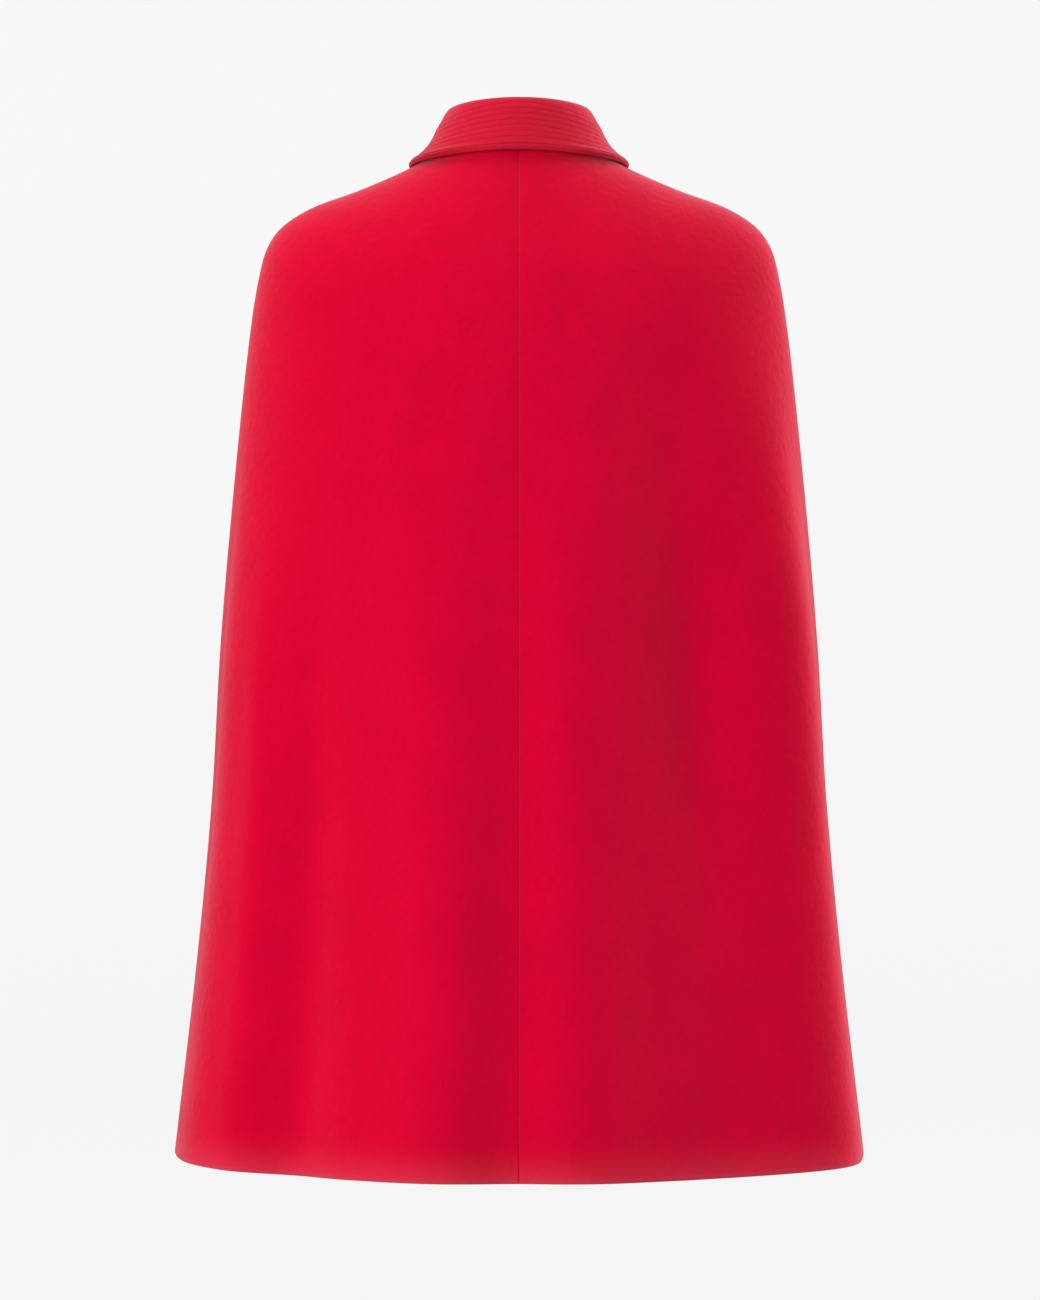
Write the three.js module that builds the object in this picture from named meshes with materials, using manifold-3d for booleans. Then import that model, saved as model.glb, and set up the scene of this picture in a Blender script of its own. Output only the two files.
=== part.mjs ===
// A long wool cape, closed at the front and shaped as it hangs on the shoulders.
// Millimetres, +Z up. The back faces +Y, the front -Y, and the cape's own left is +X.
// The origin is the middle of the neck, at the height where the shoulders carry the cloth.

import * as THREE from "three";
import { mergeVertices } from "three/addons/utils/BufferGeometryUtils.js";
import Module from "manifold-3d";

// Driving dimensions
const CLOTH = 3; // wall of the fulled wool
const SEAM_GAP = 0.3; // between two panels' edges
const SIDE_SEAM = -4; // degrees in front of the widest line, over the shoulder to the hem
const OVERLAP = 28; // each front runs this far past the centre line
const UNDERLAP = CLOTH + 0.6; // how far the under front lies below the upper one
const UNDERLAP_EASE = 50; // width over which the under front comes back up
const STAND = 4; // wall of the collar stand
const FALL = 4.2; // wall of the turned-down leaf, which is two layers of cloth
const FALL_REST = 0.8; // air between the leaf and the shoulders
const BUTTON_RADIUS = 14;
const BUTTON_THICK = 4.5;
const BUTTON_RIM = 3.2; // width of the raised rim
const BUTTON_DISH = 1.1; // depth of the dished face inside the rim
const BUTTON_BEVEL = 1.2; // of both outer edges
const BUTTON_SEAT = 0.4; // air under the button, where its thread shank is
const BUTTON_FIRST = -136; // height of the top button
const BUTTON_PITCH = 128;
const BUTTON_COUNT = 5;
const SEWING_HOLES = 4;
const SEWING_HOLE_RADIUS = 1.1;
const SEWING_HOLE_OUT = 3.2; // from the button's middle to each sewing hole

// How finely each wall is cut into flats
const PANEL_COLUMNS = 14; // from a side seam to the centre or to the overlap
const OVERLAP_COLUMNS = 4;
const RING_STEPS = [5, 4, 3, 2, 2, 2, 2, 3, 2, 2, 2, 3]; // rings from each section to the next
const COLLAR_COLUMNS = 34;
const BUTTON_SIDES = 18;
const HOLE_SIDES = 6;

// How finely places and directions are worked out
const TURN_STEP = 0.4; // degrees to each side, for a direction round the cape
const ALONG_STEP = 0.002; // to each side, for a direction down the cape
const SHOULDER_END = 0.25; // the collar lies above this place along the cape
const SHOULDER_STEPS = 60;
const HALVINGS = 40;

// One row for each section round the cape: half its width and its height at the side, then how far
// back and forward it reaches and how high it is there. Square is 2 for an ellipse and more for a
// boxier section.
const SECTIONS = [
  { at: "neck seam", sideX: 66, sideZ: 0, backY: 58, backZ: 3, frontY: -84, frontZ: -72, square: 2 },
  { at: "neck root", sideX: 99, sideZ: -18, backY: 74, backZ: -30, frontY: -94, frontZ: -96, square: 2 },
  { at: "slope", sideX: 140, sideZ: -36, backY: 91, backZ: -70, frontY: -107, frontZ: -124, square: 2.1 },
  { at: "shoulder", sideX: 185, sideZ: -53, backY: 104, backZ: -110, frontY: -119, frontZ: -153, square: 2.15 },
  { at: "shoulder turn", sideX: 210, sideZ: -70, backY: 110, backZ: -140, frontY: -127, frontZ: -177, square: 2.2 },
  { at: "arm top", sideX: 222, sideZ: -88, backY: 114, backZ: -163, frontY: -132, frontZ: -197, square: 2.2 },
  { at: "upper arm", sideX: 229, sideZ: -114, backY: 118, backZ: -188, frontY: -137, frontZ: -220, square: 2.2 },
  { at: "armpit", sideX: 236, sideZ: -158, backY: 123, backZ: -224, frontY: -142, frontZ: -252, square: 2.2 },
  { at: "bust", sideX: 250, sideZ: -290, backY: 135, backZ: -325, frontY: -152, frontZ: -345, square: 2.2 },
  { at: "waist", sideX: 262, sideZ: -431, backY: 146, backZ: -447, frontY: -162, frontZ: -457, square: 2.2 },
  { at: "hip", sideX: 270, sideZ: -572, backY: 157, backZ: -578, frontY: -172, frontZ: -581, square: 2.2 },
  { at: "thigh", sideX: 283, sideZ: -713, backY: 170, backZ: -714, frontY: -184, frontZ: -714, square: 2.2 },
  { at: "hem", sideX: 302, sideZ: -880, backY: 187, backZ: -880, frontY: -202, frontZ: -880, square: 2.2 },
];

// One row for each soft fold: its place in degrees round from the cape's own left towards
// the back, how far it stands out (or in, below zero) at its fullest, half its width in degrees,
// and the heights where it starts and where it is fully grown.
const FOLDS = [
  { at: "left of the back seam", turn: 80, out: 13, half: 9, from: -200, full: -840 },
  { at: "right of the back seam", turn: 101, out: 14, half: 9, from: -170, full: -780 },
  { at: "back seam", turn: 90, out: -8, half: 6, from: -120, full: -620 },
  { at: "left back trough", turn: 52, out: -17, half: 11, from: -330, full: -860 },
  { at: "right back trough", turn: 125, out: -19, half: 10, from: -130, full: -700 },
  { at: "left elbow", turn: 26, out: 5, half: 12, from: -240, full: -520 },
  { at: "right elbow", turn: 156, out: 5, half: 12, from: -280, full: -600 },
  { at: "right front trough", turn: 232, out: -17, half: 10, from: -300, full: -820 },
  { at: "right front ridge", turn: 251, out: 9, half: 8, from: -260, full: -760 },
  { at: "left front trough", turn: 311, out: -19, half: 11, from: -250, full: -860 },
  { at: "left front ridge", turn: 291, out: 10, half: 9, from: -340, full: -840 },
  { at: "right front side", turn: 206, out: 6, half: 11, from: -380, full: -800 },
];

// The collar stand's face next to the neck, from the neck seam up to the seam under the roll. End
// is how far each end stays from the centre front.
const STAND_ROWS = [
  { sideX: 62, sideZ: 0.5, backY: 54.2, backZ: 3.5, frontY: -80, frontZ: -71.5, end: 1.5 },
  { sideX: 58.6, sideZ: 13, backY: 51.5, backZ: 16, frontY: -76.5, frontZ: -61, end: 1.5 },
  { sideX: 55.8, sideZ: 24, backY: 49, backZ: 28.2, frontY: -72.8, frontZ: -54, end: 1.5 },
];

// The leaf, from that seam over the roll and down to its outer edge.
const FALL_ROWS = [
  { sideX: 55.6, sideZ: 27, backY: 49, backZ: 30, frontY: -72.4, frontZ: -48.6, end: 1.5 },
  { sideX: 55.9, sideZ: 31.6, backY: 49.5, backZ: 34.3, frontY: -73, frontZ: -44.8, end: 1.6 },
  { sideX: 57.9, sideZ: 34.9, backY: 51.4, backZ: 37.4, frontY: -75, frontZ: -41.7, end: 1.8 },
  { sideX: 61.2, sideZ: 35, backY: 54.6, backZ: 38, frontY: -78.4, frontZ: -41.4, end: 2 },
  { sideX: 64.8, sideZ: 31.4, backY: 58, backZ: 35.6, frontY: -82, frontZ: -43.6, end: 2.8 },
  { sideX: 69.2, sideZ: 23.6, backY: 61.4, backZ: 28, frontY: -86, frontZ: -51, end: 5 },
  { sideX: 73.2, sideZ: 16.4, backY: 64, backZ: 19.6, frontY: -89.6, frontZ: -60, end: 8 },
  { sideX: 77, sideZ: 8.6, backY: 66.6, backZ: 11, frontY: -93.4, frontZ: -71, end: 12 },
  { sideX: 81.4, sideZ: 2, backY: 69.2, backZ: 3.4, frontY: -97.6, frontZ: -83, end: 16 },
  { sideX: 87.6, sideZ: -4.2, backY: 71.8, backZ: -4.2, frontY: -102.6, frontZ: -96, end: 20 },
  { sideX: 95, sideZ: -10.4, backY: 74.8, backZ: -11.4, frontY: -108.5, frontZ: -110, end: 24 },
];

const WOOL = new THREE.MeshStandardMaterial({ color: 0xd20a2c, roughness: 0.9, metalness: 0 });
const HORN = new THREE.MeshStandardMaterial({ color: 0x8c0f22, roughness: 0.4, metalness: 0 });

const radians = THREE.MathUtils.degToRad;
const spread = (from, to, steps) =>
  Array.from({ length: steps + 1 }, (_, i) => from + ((to - from) * i) / steps);

// A form made of rings. Three smooth rails, at the side, back and front, carry every ring.
class RingForm {
  constructor(rows) {
    const rail = (pick) => new THREE.CatmullRomCurve3(rows.map(pick), false, "centripetal");
    this.side = rail((row) => new THREE.Vector3(row.sideX, 0, row.sideZ));
    this.back = rail((row) => new THREE.Vector3(0, row.backY, row.backZ));
    this.front = rail((row) => new THREE.Vector3(0, row.frontY, row.frontZ));
    this.rows = rows;
  }

  // A named column of the table at a place between 0, the first row, and 1, the last.
  column(name, along) {
    const place = along * (this.rows.length - 1);
    const row = Math.min(Math.floor(place), this.rows.length - 2);
    return THREE.MathUtils.lerp(this.rows[row][name], this.rows[row + 1][name], place - row);
  }

  power(along) {
    return 2 / (this.rows[0].square ? this.column("square", along) : 2);
  }

  point(degrees, along) {
    const c = Math.cos(radians(degrees));
    const s = Math.sin(radians(degrees));
    const side = this.side.getPoint(along);
    const far = (s >= 0 ? this.back : this.front).getPoint(along);
    const power = this.power(along);
    return new THREE.Vector3(
      Math.sign(c) * Math.abs(c) ** power * side.x,
      Math.abs(s) ** power * far.y,
      side.z * c * c + far.z * s * s,
    );
  }

  // How far to turn from the centre front or back, in degrees, to stand x to the left of it.
  turnToX(x, along) {
    const share = (Math.abs(x) / this.side.getPoint(along).x) ** (1 / this.power(along));
    return (Math.sign(x) * Math.asin(share) * 180) / Math.PI;
  }
}

// The outward normal of a surface given as a function of a turn and a place along it.
function normalOf(surface, degrees, along) {
  const low = Math.max(along - ALONG_STEP, 0);
  const high = Math.min(along + ALONG_STEP, 1);
  const across = surface(degrees + TURN_STEP, along).sub(surface(degrees - TURN_STEP, along));
  const down = surface(degrees, high).sub(surface(degrees, low));
  return down.cross(across).normalize();
}

const body = new RingForm(SECTIONS);
const bodyBase = (degrees, along) => body.point(degrees, along);

// How far the soft folds stand out at a turn and a height.
function foldOut(degrees, height) {
  return FOLDS.reduce((sum, fold) => {
    const away = THREE.MathUtils.euclideanModulo(degrees - fold.turn + 180, 360) - 180;
    const grown = THREE.MathUtils.smoothstep(-height, -fold.from, -fold.full);
    return sum + fold.out * grown * Math.exp(-((away / fold.half) ** 2));
  }, 0);
}

// The cape's outer face, folds and all.
function bodySkin(degrees, along) {
  const point = bodyBase(degrees, along);
  const out = foldOut(degrees, point.z);
  return out === 0 ? point : point.addScaledVector(normalOf(bodyBase, degrees, along), out);
}

// A closed wall between an outer and an inner grid of points, both [row][column].
function wall(outer, inner) {
  const rows = outer.length;
  const columns = outer[0].length;
  const points = [...outer.flat(), ...inner.flat()];
  const faces = [];
  const quad = (a, b, c, d) => faces.push(a, b, c, a, c, d);
  const at = (row, column, layer) => layer * rows * columns + row * columns + column;
  for (let r = 0; r + 1 < rows; r++) {
    for (let c = 0; c + 1 < columns; c++) {
      quad(at(r, c, 0), at(r + 1, c, 0), at(r + 1, c + 1, 0), at(r, c + 1, 0));
      quad(at(r, c, 1), at(r, c + 1, 1), at(r + 1, c + 1, 1), at(r + 1, c, 1));
    }
    const end = columns - 1;
    quad(at(r, 0, 0), at(r, 0, 1), at(r + 1, 0, 1), at(r + 1, 0, 0));
    quad(at(r, end, 0), at(r + 1, end, 0), at(r + 1, end, 1), at(r, end, 1));
  }
  for (let c = 0; c + 1 < columns; c++) {
    const end = rows - 1;
    quad(at(0, c, 0), at(0, c + 1, 0), at(0, c + 1, 1), at(0, c, 1));
    quad(at(end, c, 0), at(end, c, 1), at(end, c + 1, 1), at(end, c + 1, 0));
  }
  const geometry = new THREE.BufferGeometry().setFromPoints(points).setIndex(faces);
  geometry.computeVertexNormals();
  return geometry;
}

// The places of the rings between the neck and the hem, close together over the shoulders.
const ringPlaces = [
  0,
  ...RING_STEPS.flatMap((steps, i) => spread(i, i + 1, steps).slice(1)),
].map((place) => place / RING_STEPS.length);

// A panel of the cape. Its edges are functions of the place along the cape, in degrees, and sink
// says how deep a point lies under the outer face.
function panel(turnsAt, sink = () => 0) {
  const outer = [];
  const inner = [];
  for (const along of ringPlaces) {
    const column = turnsAt(along).map((turn) => {
      const point = bodySkin(turn, along);
      const normal = normalOf(bodySkin, turn, along);
      return { point: point.addScaledVector(normal, -sink(point, turn)), normal };
    });
    outer.push(column.map(({ point }) => point));
    inner.push(column.map(({ point, normal }) => point.clone().addScaledVector(normal, -CLOTH)));
  }
  return wall(outer, inner);
}

// Half the seam gap, as a turn at this place of the side seam.
function sideGap(along) {
  const step = bodySkin(SIDE_SEAM + 0.5, along).distanceTo(bodySkin(SIDE_SEAM - 0.5, along));
  return SEAM_GAP / 2 / step;
}

const centreGap = (along) => body.turnToX(SEAM_GAP / 2, along);
const leftSeam = SIDE_SEAM;
const rightSeam = 180 - SIDE_SEAM;

function backLeft(along) {
  return spread(leftSeam + sideGap(along), 90 - centreGap(along), PANEL_COLUMNS);
}

function backRight(along) {
  return spread(90 + centreGap(along), rightSeam - sideGap(along), PANEL_COLUMNS);
}

// The columns where the fronts lie on each other are at the same x on both of them.
const overlapTurns = (along) =>
  spread(-OVERLAP, OVERLAP, OVERLAP_COLUMNS).map((x) => 270 + body.turnToX(x, along));

function frontRight(along) {
  const lap = overlapTurns(along);
  return [...spread(rightSeam + sideGap(along), lap[0], PANEL_COLUMNS), ...lap.slice(1)];
}

function frontLeft(along) {
  const lap = overlapTurns(along);
  const edge = 360 + leftSeam - sideGap(along);
  return [...lap, ...spread(lap.at(-1), edge, PANEL_COLUMNS).slice(1)];
}

function underFrontSink(point) {
  return UNDERLAP * (1 - THREE.MathUtils.smoothstep(point.x, OVERLAP, OVERLAP + UNDERLAP_EASE));
}

// Lifts a point of the leaf clear of the shoulders below it.
function restOnBody(point, degrees) {
  const below = spread(0, SHOULDER_END, SHOULDER_STEPS)
    .map((along) => ({ along, spot: bodySkin(degrees, along) }))
    .reduce((best, here) => (here.spot.distanceTo(point) < best.spot.distanceTo(point) ? here : best));
  if (below.along === 0) return point; // it stands over the neck, not over the shoulders
  const normal = normalOf(bodySkin, degrees, below.along);
  const height = point.clone().sub(below.spot).dot(normal);
  return point.addScaledVector(normal, Math.max(FALL + FALL_REST - height, 0));
}

// A collar piece from its rows, as a wall that is open at the centre front.
function collarPiece(rows, thick, settle = (point) => point) {
  const form = new RingForm(rows);
  const surface = (degrees, along) => settle(form.point(degrees, along), degrees);
  const outer = [];
  const inner = [];
  rows.forEach((row, i) => {
    const along = i / (rows.length - 1);
    const turn = form.turnToX(row.end, along);
    const turns = spread(-90 + turn, 270 - turn, COLLAR_COLUMNS);
    outer.push(turns.map((degrees) => surface(degrees, along)));
    inner.push(
      turns.map((degrees, c) =>
        outer[i][c].clone().addScaledVector(normalOf(surface, degrees, along), -thick),
      ),
    );
  });
  return wall(outer, inner);
}

const wasm = await Module();
wasm.setup();

function toSolid(geometry) {
  const bare = geometry.clone();
  bare.deleteAttribute("normal");
  bare.deleteAttribute("uv");
  const merged = mergeVertices(bare, 1e-4);
  return new wasm.Manifold(
    new wasm.Mesh({
      numProp: 3,
      vertProperties: merged.attributes.position.array,
      triVerts: new Uint32Array(merged.index.array),
    }),
  );
}

function toGeometry(solid) {
  const mesh = solid.getMesh();
  const geometry = new THREE.BufferGeometry()
    .setAttribute("position", new THREE.BufferAttribute(mesh.vertProperties, 3))
    .setIndex(new THREE.BufferAttribute(mesh.triVerts, 1));
  geometry.computeVertexNormals();
  return geometry;
}

// A dished button with a rim and four sewing holes, standing on z = 0.
function buttonGeometry() {
  const face = BUTTON_THICK - BUTTON_DISH;
  const rimInside = BUTTON_RADIUS - BUTTON_RIM;
  const profile = [
    [0, 0],
    [BUTTON_RADIUS - BUTTON_BEVEL, 0],
    [BUTTON_RADIUS, BUTTON_BEVEL],
    [BUTTON_RADIUS, BUTTON_THICK - BUTTON_BEVEL],
    [BUTTON_RADIUS - BUTTON_BEVEL, BUTTON_THICK],
    [rimInside, BUTTON_THICK],
    [rimInside - BUTTON_DISH, face],
    [0, face],
  ].map(([radius, height]) => new THREE.Vector2(radius, height));
  const disc = new THREE.LatheGeometry(profile, BUTTON_SIDES).rotateX(Math.PI / 2);
  const holeLength = 3 * BUTTON_THICK; // well past both faces
  let solid = toSolid(disc);
  for (let i = 0; i < SEWING_HOLES; i++) {
    const turn = (2 * Math.PI * (i + 0.5)) / SEWING_HOLES;
    const hole = new THREE.CylinderGeometry(
      SEWING_HOLE_RADIUS, SEWING_HOLE_RADIUS, holeLength, HOLE_SIDES,
    ).rotateX(Math.PI / 2);
    hole.translate(SEWING_HOLE_OUT * Math.cos(turn), SEWING_HOLE_OUT * Math.sin(turn), 0);
    solid = solid.subtract(toSolid(hole));
  }
  return solid;
}

// The place along the cape where its centre front is at a height.
function frontPlace(height) {
  let low = 0;
  let high = 1;
  for (let i = 0; i < HALVINGS; i++) {
    const middle = (low + high) / 2;
    if (body.front.getPoint(middle).z > height) low = middle;
    else high = middle;
  }
  return low;
}

const cape = new THREE.Group();

function add(name, geometry, material) {
  const mesh = new THREE.Mesh(geometry, material);
  mesh.name = name;
  cape.add(mesh);
  return mesh;
}

add("back_left", panel(backLeft), WOOL);
add("back_right", panel(backRight), WOOL);
add("front_right", panel(frontRight), WOOL);
add("front_left", panel(frontLeft, underFrontSink), WOOL);
add("collar_stand", collarPiece(STAND_ROWS, STAND), WOOL);
add("collar_fall", collarPiece(FALL_ROWS, FALL, restOnBody), WOOL);

const button = toGeometry(buttonGeometry());
for (let i = 0; i < BUTTON_COUNT; i++) {
  const along = frontPlace(BUTTON_FIRST - i * BUTTON_PITCH);
  const normal = normalOf(bodySkin, 270, along);
  const mesh = add(`button_${i + 1}`, button, HORN);
  mesh.position.copy(bodySkin(270, along)).addScaledVector(normal, BUTTON_SEAT);
  mesh.quaternion.setFromUnitVectors(new THREE.Vector3(0, 0, 1), normal);
}

export default cape;
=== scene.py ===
# %% [markdown]
# # A long red wool cape
# This lesson dresses a plain solid model of a cape, which is closed at the front and shaped as it
# hangs. The model says where every piece is and how large it may be. Each step below makes one piece
# or one finish: it says what the real thing is, how it could be made in Blender, and why it is made
# in this way here.

import math
from collections import namedtuple

import bpy
import numpy as np
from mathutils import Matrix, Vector


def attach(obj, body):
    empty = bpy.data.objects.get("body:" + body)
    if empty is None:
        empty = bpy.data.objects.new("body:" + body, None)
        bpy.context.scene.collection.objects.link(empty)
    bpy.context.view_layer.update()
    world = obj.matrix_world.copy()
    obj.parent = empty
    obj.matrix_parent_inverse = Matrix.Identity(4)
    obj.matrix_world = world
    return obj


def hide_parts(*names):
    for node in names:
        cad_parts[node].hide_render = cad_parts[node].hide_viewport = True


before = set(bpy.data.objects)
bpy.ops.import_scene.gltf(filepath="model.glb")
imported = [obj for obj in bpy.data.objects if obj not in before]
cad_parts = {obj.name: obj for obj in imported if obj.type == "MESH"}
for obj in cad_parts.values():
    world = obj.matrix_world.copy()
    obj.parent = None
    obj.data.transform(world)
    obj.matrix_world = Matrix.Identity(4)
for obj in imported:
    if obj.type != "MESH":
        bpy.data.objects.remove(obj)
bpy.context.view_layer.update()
MM = 0.001
print("pieces in the model:", sorted(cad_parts))

# %% [markdown]
# ## The form of the cape
# A cape is cut so that it lies close round the neck, follows the shoulders and then falls in a wide
# cone. Such a form could be sculpted, but a few measured sections give it exactly: each row of the
# table says how wide the cape is, how far it reaches back and forward, and how high its ring is at
# the side, back and front. Smooth curves through the rows, called rails, carry every ring between.

# %% Sections of the cape, in millimetres
Section = namedtuple("Section", "at side_x side_z back_y back_z front_y front_z square")
SECTIONS = [
    Section("neck seam", 66, 0, 58, 3, -84, -72, 2),
    Section("neck root", 99, -18, 74, -30, -94, -96, 2),
    Section("slope", 140, -36, 91, -70, -107, -124, 2.1),
    Section("shoulder", 185, -53, 104, -110, -119, -153, 2.15),
    Section("shoulder turn", 210, -70, 110, -140, -127, -177, 2.2),
    Section("arm top", 222, -88, 114, -163, -132, -197, 2.2),
    Section("upper arm", 229, -114, 118, -188, -137, -220, 2.2),
    Section("armpit", 236, -158, 123, -224, -142, -252, 2.2),
    Section("bust", 250, -290, 135, -325, -152, -345, 2.2),
    Section("waist", 262, -431, 146, -447, -162, -457, 2.2),
    Section("hip", 270, -572, 157, -578, -172, -581, 2.2),
    Section("thigh", 283, -713, 170, -714, -184, -714, 2.2),
    Section("hem", 302, -880, 187, -880, -202, -880, 2.2),
]


def rail(across, height):
    """A smooth curve through a table's points, at any places from 0, the first, to 1, the last."""
    knots = np.stack([across, height], axis=-1) * MM
    padded = np.vstack([2 * knots[0] - knots[1], knots, 2 * knots[-1] - knots[-2]])

    def at(along):
        place = np.clip(along, 0, 1) * (len(knots) - 1)
        first = np.minimum(np.floor(place).astype(int), len(knots) - 2)
        share = (place - first)[..., None]
        p0, p1, p2, p3 = (padded[first + i] for i in range(4))
        t0, t1, t2 = (
            np.sqrt(np.linalg.norm(b - a, axis=-1, keepdims=True))
            for a, b in ((p0, p1), (p1, p2), (p2, p3))
        )
        leave = ((p1 - p0) / t0 - (p2 - p0) / (t0 + t1) + (p2 - p1) / t1) * t1
        arrive = ((p2 - p1) / t1 - (p3 - p1) / (t1 + t2) + (p3 - p2) / t2) * t1
        bend = -3 * p1 + 3 * p2 - 2 * leave - arrive
        twist = 2 * p1 - 2 * p2 + leave + arrive
        return p1 + leave * share + bend * share**2 + twist * share**3

    return at


ROUND = 2  # the power that makes a ring round; a higher one makes it squarer


class RingForm:
    """A form made of rings, carried by rails at the side, the back and the front. Turns are in
    degrees from the cape's own left towards the back, so the centre back is at 90."""

    def __init__(self, rows):
        self.rows = rows
        self.side = rail(self.values("side_x"), self.values("side_z"))
        self.back = rail(self.values("back_y"), self.values("back_z"))
        self.front = rail(self.values("front_y"), self.values("front_z"))

    def values(self, name):
        """One column of the table. A table without a square column has round rings."""
        return np.array([getattr(row, name, ROUND) for row in self.rows], float)

    def column(self, name, along):
        return np.interp(np.asarray(along) * (len(self.rows) - 1), range(len(self.rows)), self.values(name))

    def point(self, turn, along):
        turn, along = np.broadcast_arrays(np.asarray(turn, float), np.asarray(along, float))
        c, s = np.cos(np.radians(turn)), np.sin(np.radians(turn))
        side = self.side(along)
        far = np.where((s >= 0)[..., None], self.back(along), self.front(along))
        power = 2 / self.column("square", along)
        x = np.sign(c) * np.abs(c) ** power * side[..., 0]
        y = np.abs(s) ** power * far[..., 0]
        z = side[..., 1] * c * c + far[..., 1] * s * s
        return np.stack([x, y, z], axis=-1)

    def turn_to_x(self, x, along):
        """How far to turn from the centre back or front, in degrees, to stand x from it."""
        share = (np.abs(x) / self.side(np.asarray(along, float))[..., 0]) ** (
            self.column("square", along) / 2
        )
        return np.sign(x) * np.degrees(np.arcsin(share))


body = RingForm(SECTIONS)
print("hem width in mm:", round(2 * float(body.side(np.array(1.0))[0]) / MM))

# %% [markdown]
# ## Soft folds
# Fulled wool is thick, so it falls in a few wide, soft folds that start somewhere under the
# shoulders and grow towards the hem. A cloth simulation would give other folds than the real cape's.
# Here each fold is one row with a place, a depth and a width, and it is added along the surface's
# own outward direction. The first table has the large folds, which the plain model has too. The
# second has the small unevenness that only shows in raking light. A row in it leans, because such a
# fold seldom runs straight down, and it may fade out before the hem.

# %% Folds, in millimetres and degrees
Fold = namedtuple("Fold", "at turn out half start full")
FOLDS = [
    Fold("left of the back seam", 80, 13, 9, -200, -840),
    Fold("right of the back seam", 101, 14, 9, -170, -780),
    Fold("back seam", 90, -8, 6, -120, -620),
    Fold("left back trough", 52, -17, 11, -330, -860),
    Fold("right back trough", 125, -19, 10, -130, -700),
    Fold("left elbow", 26, 5, 12, -240, -520),
    Fold("right elbow", 156, 5, 12, -280, -600),
    Fold("right front trough", 232, -17, 10, -300, -820),
    Fold("right front ridge", 251, 9, 8, -260, -760),
    Fold("left front trough", 311, -19, 11, -250, -860),
    Fold("left front ridge", 291, 10, 9, -340, -840),
    Fold("right front side", 206, 6, 11, -380, -800),
]

PAST_THE_HEM = (-900, -1200)  # a crease that isn't said to fade runs on to the hem
Crease = namedtuple("Crease", "at turn lean out half top grown fading bottom", defaults=PAST_THE_HEM)
CREASES = [
    Crease("below the left shoulder", 62, -10, -1.4, 5, -120, -260, -420, -640),
    Crease("below the right shoulder", 112, 12, -1.6, 5, -100, -230, -380, -560),
    Crease("along the back seam", 91, 0, 5, 7, -280, -560),
    Crease("right of the back seam", 95, 0, 2, 4, -260, -480),
    Crease("left back slope", 82, 0, 2, 5, -330, -700),
    Crease("right back trough", 108, 0, -3, 6, -330, -640),
    Crease("right back hollow", 120, 0, -6, 7.5, -90, -280, -480, -640),
    Crease("right back rise", 126, 0, 15, 10, -420, -760),
    Crease("outer right back", 148, 0, 17, 12, -120, -440),
    Crease("left back ridge", 74, 0, 3, 6, -300, -480),
    Crease("left back trough", 51, 0, -4, 6, -300, -480),
    Crease("outer left back", 36, 6, 4, 5, -300, -520, -880, -1200),
    Crease("right arm", 168, 4, -1.5, 5, -240, -420, -640, -840),
    Crease("left arm", 12, -5, -1.4, 5, -220, -380, -620, -820),
    Crease("left front shoulder", 326, 10, -1.8, 5, -110, -240, -400, -620),
    Crease("right front shoulder", 214, -8, -1.7, 5, -120, -260, -420, -640),
    Crease("left front", 299, 4, 1.4, 4, -280, -480, -880, -1200),
    Crease("right front", 241, -5, 1.3, 4, -300, -500, -880, -1200),
]


def smooth_step(value, low, high):
    share = np.clip((value - low) / (high - low), 0, 1)
    return share * share * (3 - 2 * share)


def turn_from(turn, middle):
    return (turn - middle + 180) % 360 - 180


def fold_out(turn, height):
    """How far the large folds stand out, in metres."""
    drop = -height / MM
    return MM * sum(
        fold.out
        * smooth_step(drop, -fold.start, -fold.full)
        * np.exp(-((turn_from(turn, fold.turn) / fold.half) ** 2))
        for fold in FOLDS
    )


def crease_out(turn, height):
    """How far the small creases stand out, in metres."""
    drop = -height / MM
    total = 0
    for crease in CREASES:
        middle = crease.turn + crease.lean * (drop + crease.grown) * MM
        shown = smooth_step(drop, -crease.top, -crease.grown)
        shown = shown * (1 - smooth_step(drop, -crease.fading, -crease.bottom))
        total = total + crease.out * shown * np.exp(-((turn_from(turn, middle) / crease.half) ** 2))
    return MM * total


TURN_STEP = 0.4
ALONG_STEP = 0.002


def normal_of(surface, turn, along):
    """The outward direction of a surface that is a function of a turn and a place along it."""
    low = np.maximum(along - ALONG_STEP, 0)
    high = np.minimum(along + ALONG_STEP, 1)
    across = surface(turn + TURN_STEP, along) - surface(turn - TURN_STEP, along)
    down = surface(turn, high) - surface(turn, low)
    normal = np.cross(down, across)
    return normal / np.linalg.norm(normal, axis=-1, keepdims=True)


def large_skin(turn, along):
    """The cape's outer face with its large folds, as the plain model has it."""
    point = body.point(turn, along)
    return point + normal_of(body.point, turn, along) * fold_out(turn, point[..., 2])[..., None]


def skin(turn, along):
    """The outer face with its small creases too."""
    point = body.point(turn, along)
    out = fold_out(turn, point[..., 2]) + crease_out(turn, point[..., 2])
    return point + normal_of(body.point, turn, along) * out[..., None]


print("large folds:", len(FOLDS), "small creases:", len(CREASES))

# %% [markdown]
# ## From a grid of points to a piece of cloth
# Cloth has two faces and an edge. Blender's Solidify modifier would add the second face, but it
# can't roll a hem or round a seam. So each piece is a closed wall between an outer and an inner
# grid of points, and both grids are free to bend towards each other at the edges. The mesh also
# gets a map of real distances on the cloth, which the weave and the nap follow later, and a number
# at each point that says how near a rubbed edge it is, where painted pale sheen lies on the hem and
# where painted shade darkens seams, stitched rows and the leaf's edge.

# %% Mesh helpers
SHARP_ANGLE = math.radians(58)


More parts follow.
